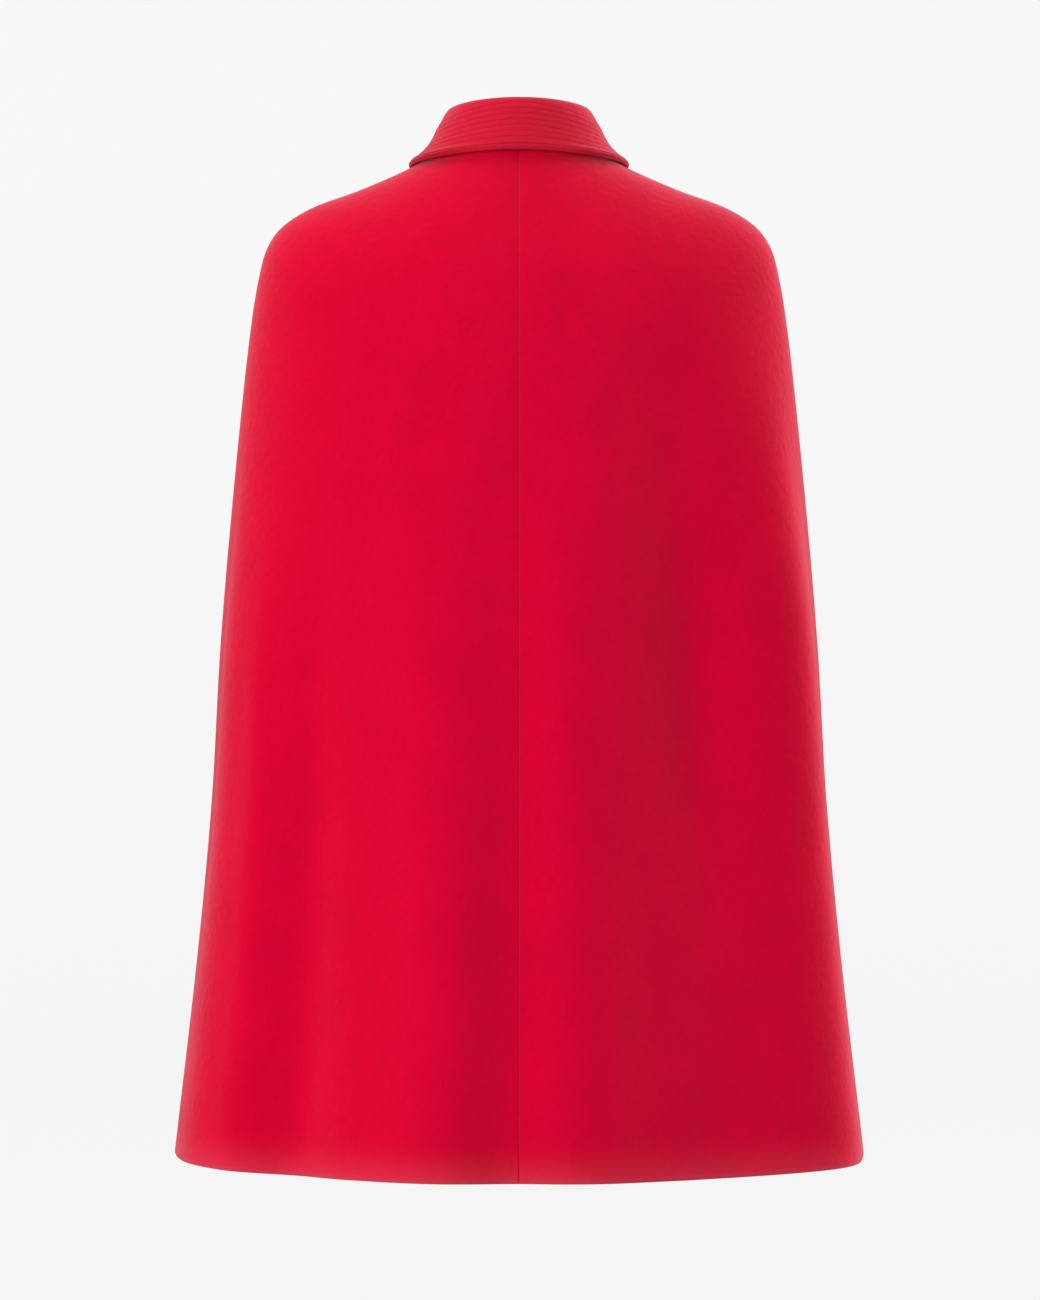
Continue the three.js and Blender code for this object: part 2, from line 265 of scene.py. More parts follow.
def new_piece(name, points, faces):
    """A smooth mesh object from lists of points and of faces, sharp only where it bends strongly."""
    mesh = bpy.data.meshes.new(name)
    mesh.from_pydata(points, [], faces)
    mesh.shade_smooth()
    mesh.set_sharp_from_angle(angle=SHARP_ANGLE)
    piece = bpy.data.objects.new(name, mesh)
    bpy.context.scene.collection.objects.link(piece)
    return piece


def wall_faces(rows, columns):
    """The quads of a closed wall between two grids, the outer one first."""
    index = np.arange(2 * rows * columns).reshape(2, rows, columns)
    outer, inner = index

    def quads(a, b, c, d):
        return np.stack([a.ravel(), b.ravel(), c.ravel(), d.ravel()], axis=-1)

    return np.concatenate([
        quads(outer[:-1, :-1], outer[1:, :-1], outer[1:, 1:], outer[:-1, 1:]),
        quads(inner[:-1, :-1], inner[:-1, 1:], inner[1:, 1:], inner[1:, :-1]),
        quads(outer[:-1, 0], inner[:-1, 0], inner[1:, 0], outer[1:, 0]),
        quads(outer[:-1, -1], outer[1:, -1], inner[1:, -1], inner[:-1, -1]),
        quads(outer[0, :-1], outer[0, 1:], inner[0, 1:], inner[0, :-1]),
        quads(outer[-1, :-1], inner[-1, :-1], inner[-1, 1:], outer[-1, 1:]),
    ])


def lengths_along(points, axis):
    """The distance travelled from the first point, along one axis of a grid."""
    steps = np.linalg.norm(np.diff(points, axis=axis), axis=-1)
    start = np.zeros_like(np.take(steps, [0], axis=axis))
    return np.concatenate([start, np.cumsum(steps, axis=axis)], axis=axis)


def cut_size(outer, inner):
    """Width, length and area of the flat cloth that a wall was cut from, measured along its middle."""
    middle = (outer + inner) / 2
    width = lengths_along(middle, 1)[:, -1].max()
    length = lengths_along(middle, 0)[-1].max()
    sides = middle[1:, 1:] - middle[:-1, :-1], middle[1:, :-1] - middle[:-1, 1:]
    area = np.linalg.norm(np.cross(*sides), axis=-1).sum() / 2
    return round(float(width), 3), round(float(length), 3), round(float(area), 4)


def wall_piece(name, outer, inner, distances, wear_and_painted_light):
    """A closed wall. distances holds each grid point's two distances. The last argument is above zero
    where the nap is rubbed pale at an edge and where the hem has painted pale sheen, and below zero
    where painted shade darkens the wool at seams, in stitched rows and along the leaf's edge."""
    rows, columns = outer.shape[:2]
    cut_size(outer, inner)
    points = np.concatenate([outer.reshape(-1, 3), inner.reshape(-1, 3)])
    piece = new_piece(name, points.tolist(), wall_faces(rows, columns).tolist())
    mesh = piece.data
    corners = np.zeros(len(mesh.loops), np.int32)
    mesh.loops.foreach_get("vertex_index", corners)
    cloth_map = np.concatenate([distances.reshape(-1, 2)] * 2)[corners]
    mesh.uv_layers.new(name="cloth").data.foreach_set("uv", cloth_map.astype(np.float32).ravel())
    # This number carries rubbed wear, painted pale sheen and painted shade.
    marks = np.concatenate([wear_and_painted_light.ravel()] * 2).astype(np.float32)
    mesh.attributes.new("wear_and_painted_light", "FLOAT", "POINT").data.foreach_set("value", marks)
    return piece


def quarter_round(radius, steps=5):
    """Distances from an edge at which a quarter-round is sampled, from the edge inwards."""
    return [radius * (1 - math.cos(math.pi / 2 * i / steps)) for i in range(steps + 1)]


def rounded(distance, radius):
    """How far a face is below its flat height, at a distance from its rounded edge."""
    share = np.clip(1 - distance / radius, 0, 1)
    return radius * (1 - np.sqrt(1 - share**2))


print("quarter round of 1 mm:", [round(d, 2) for d in quarter_round(1)])

# %% [markdown]
# ## Rings close where the cloth bends
# The mesh needs rows of points close together where something small happens: at the rolled hem, and
# at the top of the hem's turn-up inside. Elsewhere the cloth is smooth, and a row every few
# millimetres is enough. So the rows are chosen by their real distance from the hem.

# %% Rows of points from neck to hem
CLOTH = 2.6 * MM  # fulled wool, one layer
HEM_TURN_UP = 42 * MM
HEM_ROUND = 0.97 * CLOTH  # the fold at the hem is two layers thick
TURN_UP_STEP = 0.7 * MM
ROLL_END = [3.6 * MM, 6 * MM]  # two more rows where the hem's roll ends
ROW_STEP = 5.2 * MM
NECK_FINE = (15 * MM, 23 * MM, 0.8 * MM)  # where the neck seam's turnings end under the collar


def merged(fine, even, keep_clear):
    """Sorted places: all the fine ones, and the even ones that aren't close to them."""
    fine = np.asarray(fine)
    even = [place for place in even if np.abs(fine - place).min() > keep_clear]
    return np.sort(np.concatenate([fine, even]))


dense = np.linspace(0, 1, 4001)
run = (lengths_along(body.side(dense), 0) + lengths_along(body.back(dense), 0)) / 2
to_hem = run[-1] - run
hem_fine = quarter_round(HEM_ROUND) + ROLL_END
hem_fine += [HEM_TURN_UP + TURN_UP_STEP * step for step in (-2, -1, 0, 1, 2)]
hem_fine += list(run[-1] - np.arange(*NECK_FINE))
from_hem = merged(hem_fine, np.arange(ROW_STEP, run[-1], ROW_STEP), 0.4 * ROW_STEP)
from_hem = np.append(from_hem, run[-1])[::-1]
ring_places = np.interp(-from_hem, -to_hem, dense)
print("rows from neck to hem:", len(ring_places), "length in mm:", round(float(run[-1]) / MM))

# %% [markdown]
# ## Four panels with real seams
# The cape is two back panels and two fronts. At the centre back and at both sides two panels are
# joined, and the seam shows as a fine line where both edges roll in. At the hem the cloth is folded
# up inside, so the edge there is twice as thick and round. Drawing the seam as a dark line would be
# quick, but real rolled edges catch the light as the wool does. A thin band of painted shade is also
# set along each seam; on all but the under front it only takes some of the hem's paleness away.
# A wider band of painted pale sheen lies over the hem.

# %% Columns of points across a panel
COLUMN_STEP = 5.2 * MM
SEAM_ROUND = 0.95 * MM
FRONT_ROUND = 0.48 * CLOTH
SEAM_DIP = 1.5 * MM  # the cloth sinks a little towards a pressed seam
SEAM_DIP_WIDTH = 9 * MM
NEAR_EDGE = [1.8 * MM, 3 * MM, 4.6 * MM, 7 * MM, 10 * MM, 14 * MM]
DENSE_COLUMNS = 700


def spread(total, near_first, near_last, count):
    """How far each point of a row is from the row's first edge: close together near both edges, and
    even between. total holds the length of each row."""
    start, end = near_first[-1], total - near_last[-1]
    return np.concatenate([
        np.broadcast_to(near_first, (len(total), len(near_first))),
        start + (end - start) * np.linspace(0, 1, count + 1)[1:-1],
        total - near_last[::-1],
    ], axis=1)


def panel_grid(first, last, round_first, round_last):
    """Turns of every point of a panel, [row][column], and their distances from both edges."""
    fine = first[:, None] + (last - first)[:, None] * np.linspace(0, 1, DENSE_COLUMNS)
    length = lengths_along(skin(fine, ring_places[:, None]), 1)
    total = length[:, -1:]
    near_first = np.array(quarter_round(round_first) + NEAR_EDGE)
    near_last = np.array(quarter_round(round_last) + NEAR_EDGE)
    wanted = spread(total, near_first, near_last, int(total.max() / COLUMN_STEP))
    turns = np.array([np.interp(w, have, t) for w, have, t in zip(wanted, length, fine)])
    return turns, wanted, total - wanted


SIDE_SEAM = -4.0
OVERLAP = 28 * MM
LAP_DROP = 3.6 * MM  # the under front lies this far below the upper one
LAP_EASE = 50 * MM
HEM_LAP_DROP = 2.4 * MM  # and a little further at the hem, whose fold is twice as thick
HEM_LAP_EASE = 90 * MM
SEAM_PRESS = 0.3 * MM  # the two edges of a seam are pressed together by this much

no_turn = np.zeros(len(ring_places))
left_side = no_turn + SIDE_SEAM
right_side = 180 - left_side
back_middle = body.turn_to_x(np.full(len(ring_places), -SEAM_PRESS / 2), ring_places)
lap_edge = body.turn_to_x(np.full(len(ring_places), OVERLAP), ring_places)

Panel = namedtuple("Panel", "node first last first_round last_round straight_first under")
PANELS = [
    Panel("back_left", left_side, 90 - back_middle, SEAM_ROUND, SEAM_ROUND, False, False),
    Panel("back_right", 90 + back_middle, right_side, SEAM_ROUND, SEAM_ROUND, True, False),
    Panel("front_right", right_side, 270 + lap_edge, SEAM_ROUND, FRONT_ROUND, False, False),
    Panel("front_left", 270 - lap_edge, 360 + left_side, FRONT_ROUND, SEAM_ROUND, True, True),
]


SEAM_SHADE_WIDTH = 0.5 * MM  # painted shade darkens the wool this close to a seam
# how strongly painted shade darkens the wool right at a seam
SEAM_PAINTED_SHADE = 1.2
RUBBED_EDGE = 2.5 * MM  # the nap is rubbed pale this close to an open edge
HEM_PAINTED_SHEEN = 17 * MM  # and painted pale sheen, a little weaker, over this much of the hem
NECK_TURNINGS = 1.1 * MM  # the neck seam's turnings lift the cloth by this much
NECK_TURNINGS_END = (17.5 * MM, 19.8 * MM)


def seam_dip(distance):
    return SEAM_DIP * np.exp(-distance / SEAM_DIP_WIDTH)


def cape_panel(panel):
    """One panel as a closed wall with rolled seams, a folded hem and a rounded front edge."""
    turns, from_first, from_last = panel_grid(
        panel.first, panel.last, panel.first_round, panel.last_round
    )
    rings = np.broadcast_to(ring_places[:, None], turns.shape)
    hem = np.broadcast_to(from_hem[:, None], turns.shape)
    point, normal = skin(turns, rings), normal_of(skin, turns, rings)
    drop = np.maximum.reduce([
        rounded(from_first, panel.first_round),
        rounded(from_last, panel.last_round),
        rounded(hem, HEM_ROUND),
    ])
    edges = ((from_first, panel.first_round), (from_last, panel.last_round))
    seams = [distance for distance, edge_round in edges if edge_round == SEAM_ROUND]
    sink = sum(seam_dip(distance) for distance in seams)
    if panel.under:
        below = 1 - smooth_step(point[..., 0], OVERLAP, OVERLAP + LAP_EASE)
        near_hem = 1 - smooth_step(hem, HEM_TURN_UP, HEM_LAP_EASE)
        sink = sink + below * (LAP_DROP + HEM_LAP_DROP * near_hem)
    layers = 1 + (1 - smooth_step(hem, HEM_TURN_UP - TURN_UP_STEP, HEM_TURN_UP + TURN_UP_STEP))
    down = lengths_along(point, 0)
    lift = NECK_TURNINGS * (1 - smooth_step(down, *NECK_TURNINGS_END))
    outer = point - normal * (sink + drop - lift)[..., None]
    inner = point - normal * (sink + layers * CLOTH - drop)[..., None]
    distances = np.stack([from_first if panel.straight_first else -from_last, down], axis=-1)
    # rubbed wear at the hem's very edge, and a wider band of painted pale sheen over the hem
    wear_and_painted_light = np.exp(-((hem / RUBBED_EDGE) ** 2)) + 0.6 * np.exp(-((hem / HEM_PAINTED_SHEEN) ** 2))
    # painted shade right at each seam
    for distance in seams:
        wear_and_painted_light = wear_and_painted_light - SEAM_PAINTED_SHADE * np.exp(-((distance / SEAM_SHADE_WIDTH) ** 2))
    if not panel.under:
        # Nothing goes below zero on these panels, so the seams' painted shade only takes some of the rubbed
        # look and the painted pale sheen off the hem.
        front_edge = np.exp(-((from_last / RUBBED_EDGE) ** 2)) * (panel.last_round == FRONT_ROUND)
        wear_and_painted_light = np.maximum(wear_and_painted_light, front_edge)
    return wall_piece("cape_" + panel.node, outer, inner, distances, wear_and_painted_light)


panels = {panel.node: cape_panel(panel) for panel in PANELS}
for name, piece in panels.items():
    print(name, "quads:", len(piece.data.polygons))

# %% [markdown]
# ## The collar
# The collar has a stand, which rises from the neck seam, and a leaf, which rolls over and lies on the
# shoulders. Both are two layers of wool with stiffening between them. They are ring forms again. The
# leaf's rows of points are placed by their distance from its outer edge, and its columns by their
# distance from its front ends, because its stitching runs parallel to all three edges.

# %% Rows of the stand and of the leaf, in millimetres
CollarRow = namedtuple("CollarRow", "side_x side_z back_y back_z front_y front_z end")
STAND_ROWS = [
    CollarRow(62, 0.5, 54.2, 3.5, -80, -71.5, 1.5),
    CollarRow(58.6, 13, 51.5, 16, -76.5, -61, 1.5),
    CollarRow(55.8, 26.6, 49, 29.7, -72.6, -49, 1.5),
]
LEAF_ROWS = [
    CollarRow(55.6, 27, 49, 30, -72.4, -48.6, 1.5),
    CollarRow(55.9, 31.6, 49.5, 34.3, -73, -44.8, 1.6),
    CollarRow(57.9, 34.9, 51.4, 37.4, -75, -41.7, 1.8),
    CollarRow(61.2, 35, 54.6, 38, -78.4, -41.4, 2),
    CollarRow(64.8, 31.4, 58, 35.6, -82, -43.6, 2.8),
    CollarRow(69.2, 23.6, 61.4, 28, -86, -51, 5),
    CollarRow(73.2, 16.4, 64, 19.6, -89.6, -60, 8),
    CollarRow(77, 8.6, 66.6, 11, -93.4, -71, 12),
    CollarRow(81.4, 2, 69.2, 3.4, -97.6, -83, 16),
    CollarRow(87.6, -4.2, 71.8, -4.2, -102.6, -96, 20),
    CollarRow(98.4, -12, 73.8, -7.1, -108.5, -110, 24),
]
STAND = 4 * MM
LEAF = 4.2 * MM
LEAF_REST = 0.4 * MM
LEAF_SLACK = 0.05 * MM
INNER_RELIEF = 0.3  # how much of the stitching's relief the leaf's inner side has
EDGE_STITCH = 3.2 * MM  # the edge is stitched this far in
LIP_DROP = 0.5 * MM  # past that row there is no stiffening, and the edge is thinner
LIP_STEP = (2.2 * MM, 4.2 * MM)
FIRST_ROW = 10.2 * MM
ROW_PITCH = 5.37 * MM
STITCH_ROWS = 7
GROOVE_HALF = 0.75 * MM
ROW_GROOVE = 0.22 * MM
EDGE_GROOVE = 0.4 * MM
SWELL = 0.15 * MM
LEAF_EDGE_ROUND = 2.8 * MM
LEAF_ROW_STEP, LEAF_COLUMN_STEP = 2 * MM, 3 * MM
BETWEEN_ROWS = [6.8 * MM, 8.6 * MM]  # more points between the edge's stitching and the first row


def stitched_rows():
    """Distances of all the stitched rows from the leaf's edges."""
    return np.array([EDGE_STITCH] + [FIRST_ROW + i * ROW_PITCH for i in range(STITCH_ROWS)])


def near_edges(round_radius):
    """Distances from an edge that are close together at its round and at each stitched row."""
    beside = np.array([-1.9, -1.1, -0.65, -0.32, 0, 0.32, 0.65, 1.1, 1.9]) * MM
    rows = (stitched_rows()[:, None] + beside).ravel()
    places = np.sort(np.concatenate([quarter_round(round_radius), rows, BETWEEN_ROWS]))
    keep = np.append(True, np.diff(places) > 0.12 * MM)
    return places[keep]


def collar_turns(form, share, along):
    """Turns round the collar, from the end at the right front to the other end."""
    end = form.turn_to_x(np.full(np.shape(along), 1.0) * form.column("end", along) * MM, along)
    return -90 + end + (360 - 2 * end) * share


SHOULDER_TURN = 1.0
shoulder_turns = np.arange(-90, 270 + 2 * SHOULDER_TURN, SHOULDER_TURN)
shoulder_places = np.linspace(0, 0.25, 161)
shoulder = large_skin(shoulder_turns[:, None], shoulder_places)


def lift_to_rest(point, turn):
    """Lifts points of the leaf clear of the shoulders below them."""
    place = (turn - shoulder_turns[0]) / SHOULDER_TURN
    first = np.floor(place).astype(int)
    share = (place - first)[..., None, None]
    ways = shoulder[first] * (1 - share) + shoulder[first + 1] * share
    nearest = np.linalg.norm(ways - point[..., None, :], axis=-1).argmin(axis=-1)
    along = shoulder_places[nearest]
    normal = normal_of(large_skin, turn, along)
    height = ((point - large_skin(turn, along)) * normal).sum(axis=-1)
    lift = np.where(nearest > 0, np.maximum(LEAF + LEAF_REST - height, 0), 0)
    return point + normal * lift[..., None]


def grid_normals(points):
    """Outward directions of a grid of points, from its own rows and columns."""
    normal = np.cross(np.gradient(points, axis=0), np.gradient(points, axis=1))
    return normal / np.linalg.norm(normal, axis=-1, keepdims=True)


leaf_form = RingForm(LEAF_ROWS)
DENSE_ROWS = 160
DENSE_TURNS = 900


def leaf_grid():
    """Turns and places of the leaf's points, and their distances from its edge and its ends."""
    along = np.linspace(0, 1, DENSE_ROWS)[:, None] + np.zeros(DENSE_TURNS)
    turns = collar_turns(leaf_form, np.linspace(0, 1, DENSE_TURNS), along)
    points = leaf_form.point(turns, along)
    depth = lengths_along(points, 0)
    depth = depth[-1] - depth
    near = near_edges(LEAF_EDGE_ROUND)
    rest = int((depth[0].max() - near[-1]) / LEAF_ROW_STEP)
    share = np.linspace(0, 1, rest + 1)[1:]
    rows = []
    for column in range(DENSE_TURNS):
        wanted = np.concatenate([near, near[-1] + (depth[0, column] - near[-1]) * share])[::-1]
        rows.append(np.interp(-wanted, -depth[:, column], along[:, column]))
    rows = np.array(rows).T
    from_edge = np.concatenate([near, near[-1] + (depth[0].mean() - near[-1]) * share])[::-1]
    dense_share = np.linspace(0, 1, DENSE_TURNS)
    width = lengths_along(leaf_form.point(collar_turns(leaf_form, dense_share, rows), rows), 1)
    total = width[:, -1:]
    wanted = spread(total, near, near, int((total.max() - 2 * near[-1]) / LEAF_COLUMN_STEP))
    share = np.array([np.interp(w, have, dense_share) for w, have in zip(wanted, width)])
    along = np.array([np.interp(s, dense_share, row) for s, row in zip(share, rows)])
    from_end = np.minimum(wanted, total - wanted)
    return share, along, np.broadcast_to(from_edge[:, None], share.shape), from_end, wanted


def quilted(distance):
    """The height of the stitched leaf: a groove at each row, and a soft swelling between rows."""
    height = np.zeros(distance.shape)
    rows = stitched_rows()
    for i, row in enumerate(rows):
        depth = EDGE_GROOVE if i == 0 else ROW_GROOVE
        height = height - depth * np.exp(-(((distance - row) / GROOVE_HALF) ** 2))
    last = rows[-1] + ROW_PITCH / 2
    swell = 1 - smooth_step(distance, last - 2 * MM, last + 2 * MM)
    return height + SWELL * swell * smooth_step(distance, 0, EDGE_STITCH)


def painted_leaf_shade(distance, shaded_sides):
    """How much painted shade darkens the leaf: in the stitched rows, and along its edge towards the
    shoulders.
    """
    rows = stitched_rows()
    # flat holds painted shade: in each stitched row, the edge's row the darkest, and under the leaf's edge
    # at the sides
    flat = 0.3 * np.exp(-(((distance - rows[0]) / (0.9 * MM)) ** 2))
    for row in rows[1:]:
        flat = flat + 0.1 * np.exp(-(((distance - row) / (0.6 * MM)) ** 2))
    return flat + 0.5 * shaded_sides * (1 - smooth_step(distance, 0, 9 * MM))


share, leaf_along, from_edge, from_end, leaf_width = leaf_grid()
leaf_turns = collar_turns(leaf_form, share, leaf_along)
leaf_flat = np.array([
    lift_to_rest(leaf_form.point(turn, along), turn) for turn, along in zip(leaf_turns, leaf_along)
])
leaf_normal = grid_normals(leaf_flat)
leaf_distance = np.minimum(from_edge, from_end)
leaf_relief = quilted(leaf_distance)
leaf_round = rounded(leaf_distance, LEAF_EDGE_ROUND)
leaf_lip = LIP_DROP * (1 - smooth_step(leaf_distance, *LIP_STEP))
leaf_outer = leaf_flat + leaf_normal * (leaf_relief - leaf_lip - leaf_round)[..., None]
leaf_inner = leaf_flat - leaf_normal * (LEAF - LEAF_SLACK + INNER_RELIEF * leaf_relief)[..., None]
# The leaf's sides, towards the shoulders, get painted shade along the edge; it goes in below zero.
leaf_shaded_sides = smooth_step(np.abs(leaf_flat[..., 0]), 35 * MM, 70 * MM)
leaf_shaded_sides = leaf_shaded_sides * smooth_step(leaf_flat[..., 1], -50 * MM, 0)
leaf_painted_shade = -painted_leaf_shade(leaf_distance, leaf_shaded_sides)
leaf = wall_piece(
    "collar_leaf", leaf_outer, leaf_inner, np.stack([leaf_width, from_edge], axis=-1), leaf_painted_shade
)
print("collar leaf quads:", len(leaf.data.polygons), "depth at the back in mm:", from_edge.max() / MM)

# %% The stand
stand_form = RingForm(STAND_ROWS)
STAND_ROUND = 1.1 * MM
stand_height = lengths_along(stand_form.point(90.0, np.linspace(0, 1, 400)), 0)
stand_near = quarter_round(STAND_ROUND)
stand_wanted = np.concatenate([
    np.arange(0, stand_height[-1] - 2 * MM, 2 * MM), stand_height[-1] - np.array(stand_near)[::-1],
])
stand_along = np.interp(stand_wanted, stand_height, np.linspace(0, 1, 400))[:, None]
stand_share = np.linspace(0, 1, 181)
stand_turns = collar_turns(stand_form, stand_share, stand_along + 0 * stand_share)
stand_points = stand_form.point(stand_turns, stand_along)
stand_normal = grid_normals(stand_points)
stand_drop = rounded(stand_height[-1] - stand_wanted, STAND_ROUND)[:, None] + 0 * stand_turns
stand_width = lengths_along(stand_points, 1)
stand_map = np.stack([stand_width, stand_wanted[:, None] + 0 * stand_width], axis=-1)
stand = wall_piece(
    "collar_stand_fine",
    stand_points - stand_normal * stand_drop[..., None],
    stand_points - stand_normal * (STAND - stand_drop)[..., None],
    stand_map,
    np.zeros(stand_turns.shape),
)
print("stand height in mm:", stand_height[-1] / MM)

# %% [markdown]
# ## Thread
# Stitches are short arcs of thread whose ends dive into the cloth. A dashed texture would look flat
# from the side, so each stitch is a small bent tube. All the stitches of one kind are made at once
# with array maths and joined into one mesh, which keeps the scene light.

# %% Stitches as bent tubes
THREAD_SIDES = 5
THREAD_PROFILE = [(0.0, -1.0), (0.12, 0.15), (0.5, 0.6), (0.88, 0.15), (1.0, -1.0)]


def stitches(starts, ends, normals, radius):
    """Points and faces of one bent tube from each start to its end, standing out along normals."""
    starts, ends, normals = (np.asarray(a, float).reshape(-1, 3) for a in (starts, ends, normals))
    ahead = ends - starts
    ahead = ahead / np.linalg.norm(ahead, axis=1, keepdims=True)
    sideways = np.cross(ahead, normals)
    sideways = sideways / np.linalg.norm(sideways, axis=1, keepdims=True)
    around = 2 * math.pi * np.arange(THREAD_SIDES) / THREAD_SIDES
    rings = []
    for share, height in THREAD_PROFILE:
        centre = starts + (ends - starts) * share + normals * (height * radius)
        rings.append(
            centre[:, None]
            + radius * np.cos(around)[:, None] * sideways[:, None]
            + radius * np.sin(around)[:, None] * normals[:, None]
        )
    points = np.stack(rings, axis=1)
    count, ring_count = points.shape[:2]
    index = np.arange(points[..., 0].size).reshape(count, ring_count, THREAD_SIDES)
    nearer, further = index[:, :-1], index[:, 1:]
    sides = np.stack([
        nearer, np.roll(nearer, -1, axis=2), np.roll(further, -1, axis=2), further,
    ], axis=-1).reshape(-1, 4)
    first = index[:, 0, ::-1].tolist()
    last = index[:, -1].tolist()
    return points.reshape(-1, 3), sides.tolist() + first + last


def joined(name, parts):
    """One mesh object from several lists of points and faces."""
    points, faces, count = [], [], 0
    for part_points, part_faces in parts:
        points.append(np.asarray(part_points))
        faces += [[corner + count for corner in face] for face in part_faces]
        count += len(part_points)
    return new_piece(name, np.concatenate(points).tolist(), faces)


def stitches_along(line, normals, stitch, gap, radius):
    """Stitches along a line of points, each as long as stitch, with a gap between."""
    run = lengths_along(line, 0)
    starts = np.arange(gap, run[-1] - stitch, stitch + gap)

    def at(values, place):
        return np.stack([np.interp(place, run, values[:, k]) for k in range(3)], axis=-1)

    middle = at(normals, starts + stitch / 2)
    middle = middle / np.linalg.norm(middle, axis=1, keepdims=True)
    return stitches(at(line, starts), at(line, starts + stitch), middle, radius)


# %% Rows of stitching on the collar
COLLAR_STITCH = 2.9 * MM
COLLAR_STITCH_GAP = 0.7 * MM
COLLAR_THREAD = 0.17 * MM


def collar_row(distance):
    """The line of one stitched row: down one end, along the leaf's edge and up the other end."""
    rows = from_edge[:, 0]
    at_row = np.abs(rows - distance).argmin()
    along_end = np.abs(leaf_width[at_row] - distance).argmin()
    other_end = leaf_width.shape[1] - 1 - along_end
    top = np.abs(rows - (stitched_rows()[-1] + ROW_PITCH / 2)).argmin()
    down = [(row, along_end) for row in range(top, at_row)]
    across = [(at_row, column) for column in range(along_end, other_end)]
    up = [(row, other_end) for row in range(at_row, top - 1, -1)]
    path = np.array(down + across + up)
    return leaf_outer[path[:, 0], path[:, 1]], leaf_normal[path[:, 0], path[:, 1]]


collar_thread = joined("collar_stitching", [
    stitches_along(*collar_row(distance), COLLAR_STITCH, COLLAR_STITCH_GAP, COLLAR_THREAD)
    for distance in stitched_rows()
])
print("collar stitching faces:", len(collar_thread.data.polygons))

# %% [markdown]
# ## Buttons
# A sewn-through button is turned on a lathe: a rim stands up round a dished middle, and the thread goes
# through four holes. Here a profile is swept round the button's axis, and Blender's Boolean modifier
# drills the holes, as a drill would. The button is a little proud of the cloth on a short thread shank.

# %% Sizes of the buttons and where they stand, in millimetres
BUTTON_SEAT = 0.4
BUTTON_FIRST = -136
BUTTON_PITCH = 128
BUTTON_COUNT = 5
SEWING_HOLES = 4
SEWING_HOLE = 1.1
SEWING_HOLE_OUT = 3.2
BUTTON_FACE = 3.4
LATHE_SIDES = 72
BUTTON_PROFILE = [
    (0, 0), (6, 0.05), (10, 0.45), (12.6, 1.25), (13.6, 2.1), (14, 2.9), (13.9, 3.6), (13.5, 4.15),
    (12.9, 4.45), (12.2, 4.5), (11.5, 4.35), (10.9, 3.95), (10.3, 3.6), (9.4, 3.42), (6, 3.4), (0, 3.4),
]


def lathe(profile, sides):
    """Points and faces of a profile, as radius and height in millimetres, turned round the Z axis."""
    around = 2 * math.pi * np.arange(sides) / sides
    points = [np.array([[0, 0, profile[0][1] * MM]])]
    for radius, height in profile[1:-1]:
        ring = [np.cos(around) * radius * MM, np.sin(around) * radius * MM, around * 0 + height * MM]
        points.append(np.stack(ring, axis=-1))
    points.append(np.array([[0, 0, profile[-1][1] * MM]]))
    index = 1 + np.arange((len(profile) - 2) * sides).reshape(-1, sides)
    last = 1 + index.size
    faces = np.stack([
        index[:-1], np.roll(index[:-1], -1, axis=1), np.roll(index[1:], -1, axis=1), index[1:],
    ], axis=-1).reshape(-1, 4).tolist()
    faces += [[0, b, a] for a, b in zip(index[0], np.roll(index[0], -1))]
    faces += [[last, a, b] for a, b in zip(index[-1], np.roll(index[-1], -1))]
    return np.concatenate(points), faces


def apply_modifiers(piece):
    """Bakes a piece's modifiers into its mesh."""
    evaluated = piece.evaluated_get(bpy.context.evaluated_depsgraph_get())
    mesh = bpy.data.meshes.new_from_object(evaluated)
    piece.modifiers.clear()
    piece.data = mesh


front_along = np.linspace(0, 1, 2001)[::-1]
front_heights = skin(270.0, front_along)[:, 2]


def on_front(x, height):
    """A place on the front at a distance from the centre front, and its outward direction."""
    x = np.asarray(x, float)
    along = np.interp(np.broadcast_to(height, x.shape), front_heights, front_along)
    turn = 270 + body.turn_to_x(x, along)
    return skin(turn, along), normal_of(skin, turn, along)


button_heights = [(BUTTON_FIRST - BUTTON_PITCH * i) * MM for i in range(BUTTON_COUNT)]
print("buttons at:", [round(height, 3) for height in button_heights])


# %% The buttons, drilled and sewn on
HOLE_SIDES = 20
HOLE_LENGTH = 20
SHANK_RADIUS = 1.5
SEWING_THREAD = 0.28 * MM
STRANDS = (-0.52, 0.0, 0.52)
BUTTON_SHARP_ANGLE = math.radians(40)


def drilled_button(name, place, normal):
    """One button at a place, its back towards the cloth."""
    button = joined(name, [lathe(BUTTON_PROFILE, LATHE_SIDES)])
    drills = []
    for hole in range(SEWING_HOLES):
        turn = 2 * math.pi * (hole + 0.5) / SEWING_HOLES
        points, faces = lathe(
            [(0, -HOLE_LENGTH), (SEWING_HOLE, -HOLE_LENGTH), (SEWING_HOLE, HOLE_LENGTH), (0, HOLE_LENGTH)],
            HOLE_SIDES,
        )
        points[:, 0] += SEWING_HOLE_OUT * math.cos(turn) * MM
        points[:, 1] += SEWING_HOLE_OUT * math.sin(turn) * MM
        drills.append((points, faces))
    drill = joined(name + "_drill", drills)
    cut = button.modifiers.new("holes", "BOOLEAN")
    cut.object = drill
    cut.operation = "DIFFERENCE"
    cut.solver = "EXACT"
    apply_modifiers(button)
    bpy.data.objects.remove(drill)
    button.data.transform(facing(place + normal * BUTTON_SEAT * MM, normal))
    button.data.shade_smooth()
    button.data.set_sharp_from_angle(angle=BUTTON_SHARP_ANGLE)
    return button


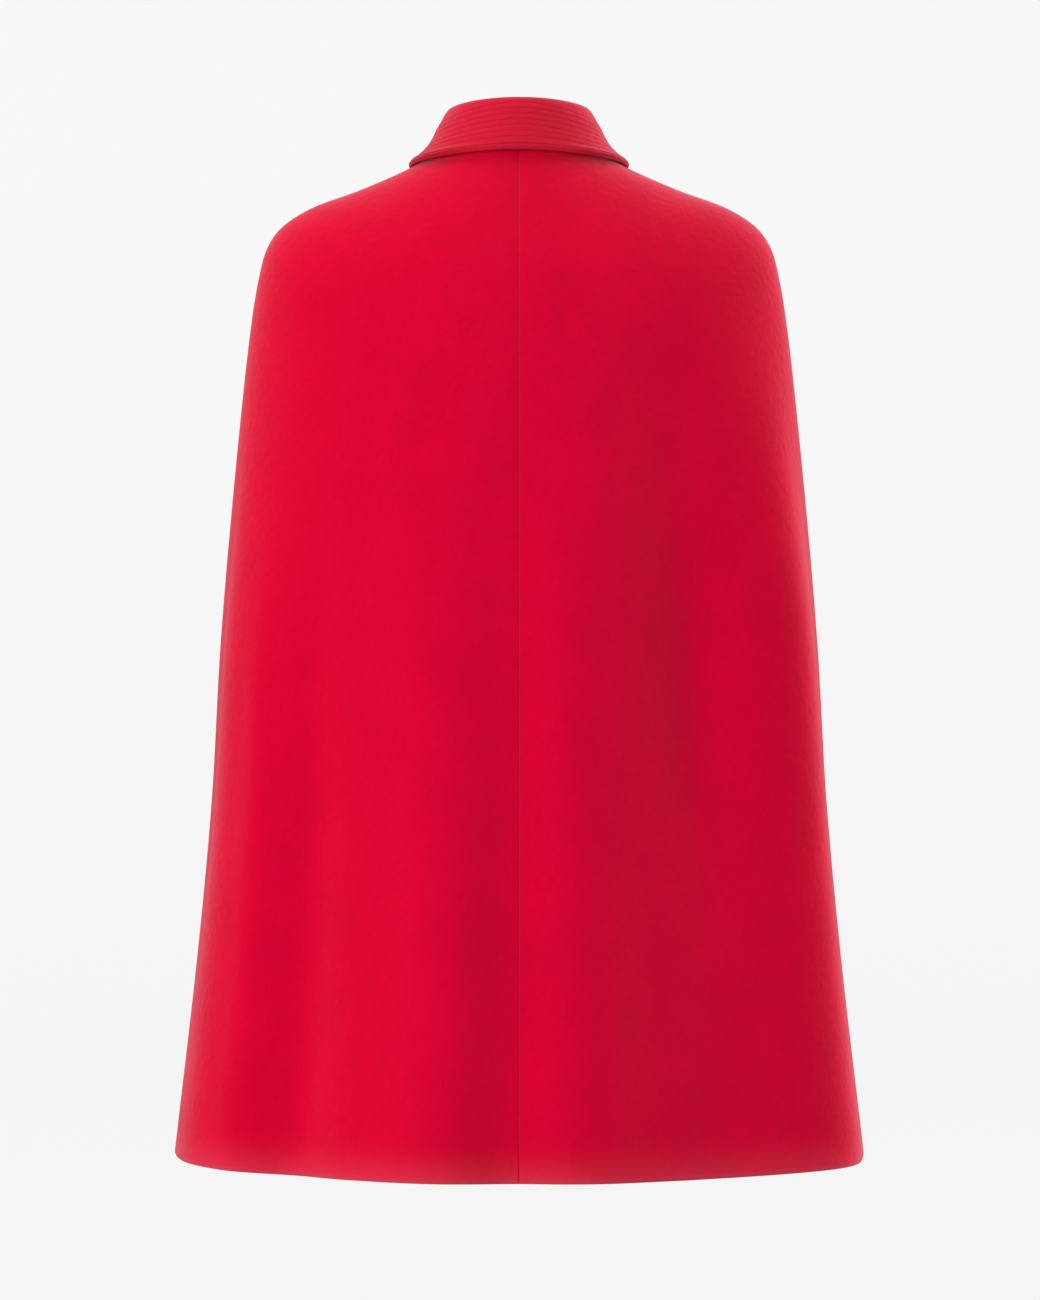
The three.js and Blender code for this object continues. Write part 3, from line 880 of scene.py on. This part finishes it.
def facing(place, normal):
    """A matrix that puts a piece at a place, with its Z axis along normal and its Y axis up."""
    turned = Vector(normal).to_track_quat("Z", "Y").to_matrix().to_4x4()
    turned.translation = Vector(place)
    return turned


def sewn(name, place, normal):
    """The thread of one button: strands over its face and a wound shank behind it."""
    parts = []
    out = SEWING_HOLE_OUT * math.cos(math.pi / 4) * MM
    face = BUTTON_FACE * MM
    for side in (-1, 1):
        for strand in STRANDS:
            at = side * out + strand * MM
            start, end = (-out, at, face), (out, at, face)
            parts.append(stitches([start], [end], [(0, 0, 1)], SEWING_THREAD))
    shank = [(0, -1.6), (SHANK_RADIUS, -1.6), (SHANK_RADIUS, 0.6), (0, 0.6)]
    parts.append(lathe(shank, HOLE_SIDES))
    thread = joined(name, parts)
    thread.data.transform(facing(place + normal * BUTTON_SEAT * MM, normal))
    return thread


buttons, button_threads = [], []
for i, height in enumerate(button_heights):
    place, normal = on_front(0.0, height)
    buttons.append(drilled_button("front_button_%d" % (i + 1), place, normal))
    button_threads.append(sewn("button_thread_%d" % (i + 1), place, normal))
print("button faces:", [len(button.data.polygons) for button in buttons])

# %% [markdown]
# ## Buttonholes
# Each buttonhole is a slit across the lap, with a purl of thread worked round it. The button covers
# its outer end, and the rest shows beside it. The purl is a row of short stitches side by side over
# both lips, closed by a bar at the inner end.

# %% Worked buttonholes beside the buttons
HOLE_START, HOLE_END = 3 * MM, -25 * MM
LIP = 1.7 * MM
SLIT = 0.25 * MM
PURL_PITCH = 0.5 * MM
PURL_THREAD = 0.24 * MM


def buttonhole(height):
    """Stitches over both lips of one slit and its end bar."""
    x = np.arange(HOLE_END, HOLE_START, PURL_PITCH)
    parts = []
    for side in (-1, 1):
        near, near_normal = on_front(x, height + side * SLIT)
        far, _ = on_front(x, height + side * LIP)
        parts.append(stitches(near, far, near_normal, PURL_THREAD))
    rows = np.arange(-LIP, LIP + PURL_PITCH / 2, PURL_PITCH)
    near, near_normal = on_front(HOLE_END + 0 * rows, height + rows)
    far, _ = on_front(HOLE_END - LIP + 0 * rows, height + rows)
    parts.append(stitches(near, far, near_normal, PURL_THREAD))
    return parts


buttonholes = joined(
    "buttonholes", [part for height in button_heights for part in buttonhole(height)]
)
print("buttonhole faces:", len(buttonholes.data.polygons))

# %% [markdown]
# ## Blind stitches inside
# The hem is turned up and caught to the back of the cloth by hand, with stitches that don't come
# through. They can be seen from below and through the neck, so they are there too.

# %% The hem's blind stitches
BLIND_PITCH = 11 * MM
BLIND_REACH = 3.2 * MM
BLIND_THREAD = 0.22 * MM
BLIND_CLEAR = 34 * MM  # from the front edges


def hem_stitches():
    """Slanting stitches over the top edge of the turn-up, on the inside of the cape."""
    turns = np.arange(-90.0, 270.0, 0.05)
    top = np.interp(-HEM_TURN_UP, -to_hem, dense)
    line = skin(turns, top)
    run_round = lengths_along(line, 0)
    places = np.arange(BLIND_CLEAR, run_round[-1] - BLIND_CLEAR, BLIND_PITCH)
    at = np.interp(places, run_round, turns)
    below = np.interp(-(HEM_TURN_UP - BLIND_REACH / 2), -to_hem, dense)
    above = np.interp(-(HEM_TURN_UP + BLIND_REACH), -to_hem, dense)
    degrees = BLIND_REACH / run_round[-1] * 360
    low, high = skin(at, below), skin(at + degrees, above)
    low_in, high_in = -normal_of(skin, at, below), -normal_of(skin, at + degrees, above)
    return stitches(low + low_in * 2 * CLOTH, high + high_in * CLOTH, low_in, BLIND_THREAD)


blind_thread = joined("hem_stitching", [hem_stitches()])
print("blind stitch faces:", len(blind_thread.data.polygons))

# %% [markdown]
# ## Wool, thread and buttons
# Fulled wool has a felted face: the weave hardly shows, fine fibres stand up from it and lie in the
# direction of the nap, and at a grazing angle they glow. Blender's Principled shader has a sheen layer
# for that glow. The colour is a deep, slightly bluish red with slow, faint variation. The shader's
# maths is written as Python expressions, so that each pattern reads as a formula.

# %% Shader maths as expressions
class Value:
    """A socket that can be used in sums and products."""

    def __init__(self, shader, socket):
        self.shader = shader
        self.socket = socket

    def maths(self, operation, *others):
        return self.shader.node("ShaderNodeMath", {"operation": operation}, self, *others)

    def __add__(self, other):
        return self.maths("ADD", other)

    __radd__ = __add__

    def __mul__(self, other):
        return self.maths("MULTIPLY", other)

    __rmul__ = __mul__


class Shader:
    """A material's node tree, with one way to add a node."""

    def __init__(self, name):
        self.material = bpy.data.materials.new(name)
        self.material.use_nodes = True
        self.tree = self.material.node_tree
        self.surface = self.tree.nodes["Principled BSDF"]

    def link(self, value, socket):
        if isinstance(value, Value):
            self.tree.links.new(value.socket, socket)
        elif value is not None:
            socket.default_value = value

    def node(self, kind, settings=None, *inputs, out=0, **named):
        node = self.tree.nodes.new(kind)
        for name, setting in (settings or {}).items():
            setattr(node, name, setting)
        for socket, value in zip(node.inputs, inputs):
            self.link(value, socket)
        for name, value in named.items():
            self.link(value, node.inputs[name.replace("_", " ")])
        return Value(self, node.outputs[out])

    def set(self, **values):
        for name, value in values.items():
            self.link(value, self.surface.inputs[name.replace("_", " ")])

    def noise(self, place, scale, detail=2.0, roughness=0.5):
        return self.node(
            "ShaderNodeTexNoise", None, Vector=place, Scale=scale, Detail=detail, Roughness=roughness
        )

    def between(self, value, low, high):
        """A value that goes evenly from 0 at low to 1 at high."""
        return self.node("ShaderNodeMapRange", None, value, low, high, 0.0, 1.0)

    def blend(self, share, first, second):
        """A mix of two colours, whose sockets come after five for numbers and vectors."""
        return self.node("ShaderNodeMix", {"data_type": "RGBA"}, share, *[None] * 5, first, second, out=2)

    def bump(self, height, distance, strength=1.0, under=None):
        return self.node(
            "ShaderNodeBump", None, Strength=strength, Distance=distance, Height=height, Normal=under
        )


# %% The wool
WOOL_RED = (0.70, 0.0, 0.030)
COLLAR_SHADE_AND_SHEEN_RED = (0.63, 0.01, 0.034)  # a darker, pinker copy of the wool: painted shade on the collar, with a little painted pale sheen
# pale pink for rubbed wear at the edges, and for the painted pale sheen over the hem
WORN_AND_SHEEN_RED = (0.76, 0.07, 0.12, 1.0)
PAINTED_SHADE_KEEPS = 0.42  # how much of its brightness the wool keeps under full painted shade
SHEEN_TINT = (1.0, 0.54, 0.62, 1.0)
SHEEN_WEIGHT = 0.5
SHEEN_ROUGHNESS = 0.42
WOOL_ROUGHNESS = 0.9
MOTTLE_WIDE, MOTTLE_FINE = 0.055, 0.007
NAP_STREAKS = (2600.0, 420.0, 1.0)


def scaled(colour, share):
    return tuple(channel * share for channel in colour) + (1.0,)


def wool_material(name, red):
    """Fulled wool. Everything that varies is worked out from place, from the cloth's own map, or from the
    mesh's number for rubbed wear, painted pale sheen and painted shade.
    """
    wool = Shader(name)
    place = wool.node("ShaderNodeTexCoord", None, out=3)
    cloth = wool.node("ShaderNodeUVMap", {"uv_map": "cloth"})
    wear_and_painted_light = wool.node("ShaderNodeAttribute", {"attribute_name": "wear_and_painted_light"}, out=2)
    wide = wool.noise(place, 1 / MOTTLE_WIDE, 3.0)
    fine = wool.noise(place, 1 / MOTTLE_FINE, 3.0)
    streaks = wool.noise(
        wool.node("ShaderNodeVectorMath", {"operation": "MULTIPLY"}, cloth, NAP_STREAKS), 1.0, 2.0
    )
    felt = wool.noise(place, 1800.0, 3.0, 0.6)
    mottle = 0.5 * wide + 0.3 * fine + 0.2 * streaks
    share = wool.between(mottle, 0.35, 0.65)
    colour = wool.blend(share, scaled(red, 0.94), scaled(red, 1.05))
    # paler where the nap is rubbed at an edge, and where painted pale sheen lies over the hem
    colour = wool.blend(wear_and_painted_light * 0.5, colour, WORN_AND_SHEEN_RED)
    # darker where painted shade lies: seams, stitched rows and the leaf's edge
    colour = wool.blend(wear_and_painted_light * -1.0, colour, scaled(red, PAINTED_SHADE_KEEPS))
    height = 0.6 * felt + 0.4 * streaks
    bump = wool.bump(height, 0.0004, 0.55)
    bump = wool.bump(fine, 0.0016, 0.35, bump)
    wool.set(
        Base_Color=colour,
        Roughness=0.05 * fine + (WOOL_ROUGHNESS - 0.025),
        Sheen_Weight=SHEEN_WEIGHT,
        Sheen_Roughness=SHEEN_ROUGHNESS,
        Sheen_Tint=SHEEN_TINT,
        Specular_IOR_Level=0.0,
        Normal=bump,
    )
    return wool.material


def thread_material(name, colour):
    """Twisted thread, with a little shine."""
    thread = Shader(name)
    place = thread.node("ShaderNodeTexCoord", None, out=3)
    twist = thread.noise(place, 2600.0, 2.0)
    thread.set(
        Base_Color=thread.blend(twist, scaled(colour, 0.86), scaled(colour, 1.08)),
        Roughness=0.12 * twist + 0.65,
        Specular_IOR_Level=0.2,
        Normal=thread.bump(twist, 0.0001, 0.5),
    )
    return thread.material


def button_material(name):
    """A moulded button in a dark red, with slow clouding and fine scratches."""
    button = Shader(name)
    place = button.node("ShaderNodeTexCoord", None, out=3)
    cloud = button.noise(place, 150.0, 3.0)
    scratch = button.noise(place, 1500.0, 2.0)
    button.set(
        Base_Color=button.blend(
            button.between(cloud, 0.3, 0.7), (0.14, 0.003, 0.009, 1.0), (0.22, 0.005, 0.015, 1.0)
        ),
        Roughness=0.12 * scratch + 0.28,
        Coat_Weight=0.12,
        Normal=button.bump(scratch, 0.00005, 0.3),
    )
    return button.material


wool = wool_material("wool", WOOL_RED)
collar_wool_painted = wool_material("collar wool with painted shade and sheen", COLLAR_SHADE_AND_SHEEN_RED)
thread_red = thread_material("thread", (0.47, 0.001, 0.02))
button_red = button_material("button")


def finish_with(material, *pieces):
    for piece in pieces:
        piece.data.materials.clear()
        piece.data.materials.append(material)


finish_with(wool, *panels.values())
finish_with(collar_wool_painted, leaf, stand)
finish_with(thread_red, collar_thread, buttonholes, blind_thread, *button_threads)
finish_with(button_red, *buttons)
print("materials:", sorted(material.name for material in bpy.data.materials))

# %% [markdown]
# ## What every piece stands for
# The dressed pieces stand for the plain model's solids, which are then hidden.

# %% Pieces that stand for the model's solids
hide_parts("collar_fall")
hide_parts("collar_stand")
for panel in PANELS:
    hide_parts(panel.node)
for i, button in enumerate(buttons):
    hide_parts("button_%d" % (i + 1))
woollen = [leaf, stand, collar_thread, buttonholes, blind_thread, *button_threads, *panels.values()]
for piece in woollen + buttons:
    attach(piece, "root")

for piece, held, rests_on in (
    [(panels[panel.node], "hung", ["collar_stand_fine"]) for panel in PANELS]
    + [(leaf, "folded", ["collar_stand_fine", "cape_back_left", "cape_back_right"])]
    + [(stand, "folded", ["cape_back_left", "cape_back_right"])]
):
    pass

# %% [markdown]
# ## A plain studio
# The photograph was taken from straight behind, at the height of the cape's middle, in soft light on a
# plain pale ground. The ground here is one wide bowl: its floor runs up into its wall without a corner.

# %% Floor, light and camera
FLOOR = -1.48
BOWL_RADIUS = 7.5
BOWL_BEND = 2.0
BOWL_TOP = 5.0
BOWL_SIDES = 128
CAMERA_PLACE = (-0.0009, 2.9, -0.44)
MIDDLE = (0, 0, -0.45)
# painted light: the paper's glow, from the floor up to the top of the bowl
PAPER_LOW, PAPER_HIGH, PAPER_TOP = 0.895, 0.93, 1.0
LENS, SENSOR = 91.2, 36
STUDIO_GLOW = 0.4


def bowl():
    """A floor that bends up into a round wall."""
    bend = np.radians(np.arange(0, 91, 6))
    profile = [
        (BOWL_RADIUS - BOWL_BEND + BOWL_BEND * math.sin(a), BOWL_BEND * (1 - math.cos(a))) for a in bend
    ] + [(BOWL_RADIUS, BOWL_TOP)]
    around = 2 * math.pi * np.arange(BOWL_SIDES) / BOWL_SIDES
    points = [(0, 0, FLOOR)]
    for radius, height in profile:
        points += [(radius * math.cos(a), radius * math.sin(a), FLOOR + height) for a in around]
    index = 1 + np.arange(len(profile) * BOWL_SIDES).reshape(-1, BOWL_SIDES)
    after = np.roll(index, -1, axis=1)
    faces = [[0, a, b] for a, b in zip(index[0], after[0])]
    faces += np.stack([index[:-1], index[1:], after[1:], after[:-1]], axis=-1).reshape(-1, 4).tolist()
    return new_piece("ground", points, faces)


def ground_material():
    """Pale paper that glows by itself instead of being lit, a little brighter towards the top: painted
    light, even enough that no lamp shows on it.
    """
    paper = Shader("paper")
    place = paper.node("ShaderNodeTexCoord", None, out=3)
    grain = paper.noise(place, 1.4, 2.0)
    height = paper.node("ShaderNodeSeparateXYZ", None, place, out=2)
    glow = paper.blend(
        paper.between(height, FLOOR, PAPER_TOP), (PAPER_LOW,) * 3 + (1.0,), (PAPER_HIGH,) * 3 + (1.0,)
    )
    paper.set(
        Base_Color=(0.02, 0.02, 0.02, 1.0),
        Roughness=0.05 * grain + 0.9,
        Specular_IOR_Level=0.0,
        Emission_Color=glow,
        Emission_Strength=1.0,
    )
    return paper.material


ground = bowl()
finish_with(ground_material(), ground)
ground.visible_diffuse = False
ground.visible_shadow = False


Lamp = namedtuple("Lamp", "name turn height size watts")
LAMP_DISTANCE = 4.0


def area_light(lamp):
    """A soft lamp, turned so far from the back towards the cape's own left, aimed at its middle."""
    turn, height = math.radians(lamp.turn), math.radians(lamp.height)
    way = Vector((math.sin(turn) * math.cos(height), math.cos(turn) * math.cos(height), math.sin(height)))
    data = bpy.data.lights.new(lamp.name, "AREA")
    data.shape = "DISK"
    data.size = lamp.size
    data.energy = lamp.watts
    light = bpy.data.objects.new(lamp.name, data)
    light.location = Vector(MIDDLE) + way * LAMP_DISTANCE
    light.rotation_euler = (-way).to_track_quat("-Z", "Y").to_euler()
    light.visible_camera = False
    bpy.context.scene.collection.objects.link(light)
    return light


LAMPS = [
    Lamp("left key", 48, 5, 2.4, 99),
    Lamp("right fill", -85, 10, 2.4, 12),
    Lamp("right rim", -108, 5, 2.4, 109),
    Lamp("front key", 215, 15, 2.4, 22),
    Lamp("front fill", 140, 12, 2.4, 14),
    Lamp("top", 0, 82, 3.0, 74),
]
for lamp in LAMPS:
    area_light(lamp)

scene = bpy.context.scene
scene.view_settings.view_transform = "Standard"
world = bpy.data.worlds.new("studio")
world.use_nodes = True
world.node_tree.nodes["Background"].inputs["Color"].default_value = (1, 1, 1, 1)
world.node_tree.nodes["Background"].inputs["Strength"].default_value = STUDIO_GLOW
scene.world = world

lens = bpy.data.cameras.new("camera")
lens.lens = LENS
lens.sensor_width = SENSOR
camera = bpy.data.objects.new("camera", lens)
camera.location = CAMERA_PLACE
camera.rotation_euler = (math.radians(90), 0, math.radians(180))
scene.collection.objects.link(camera)
scene.camera = camera
